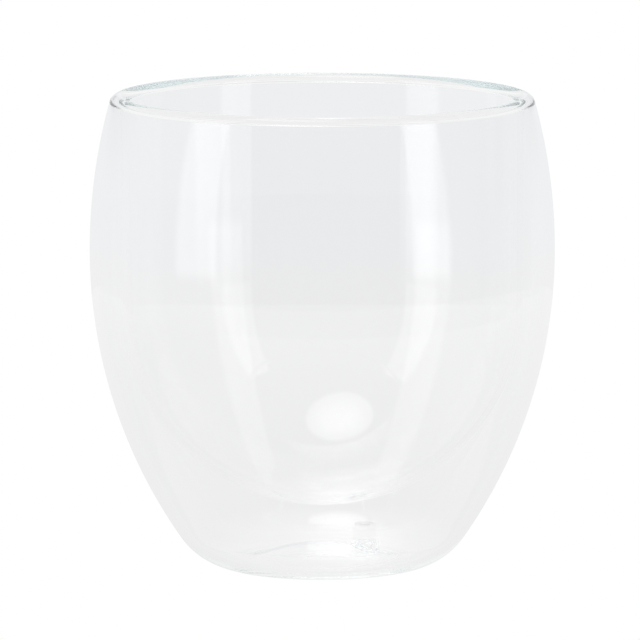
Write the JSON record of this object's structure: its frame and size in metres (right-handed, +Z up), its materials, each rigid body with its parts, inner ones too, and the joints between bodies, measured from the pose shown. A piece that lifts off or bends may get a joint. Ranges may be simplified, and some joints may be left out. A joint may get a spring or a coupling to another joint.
{
  "type": "double walled glass cup",
  "caption": "Handleless double walled glass cup: barrel shaped outer glass, round bottomed inner bowl, fused rounded lip and a silicone vent plug in the domed base.",
  "frame": {"origin": "centre of the flat ring under the base, on the surface that the cup stands on", "axes": "+Z up along the cup's axis, out of the mouth; -Y towards the viewer of the picture; +X to the right"},
  "size_m": [0.088, 0.088, 0.09],
  "materials": {
    "shell_glass": "clear blown borosilicate glass, fire polished",
    "bowl_glass": "clear blown borosilicate glass, fire polished",
    "lip_glass": "clear fused borosilicate glass, a little green through its thickness",
    "silicone": "translucent milky silicone"
  },
  "bodies": {
    "root": {"outer_shell": "shell_glass", "inner_bowl": "bowl_glass", "fused_lip": "lip_glass", "vent_plug": "silicone"}
  },
  "joints": []
}
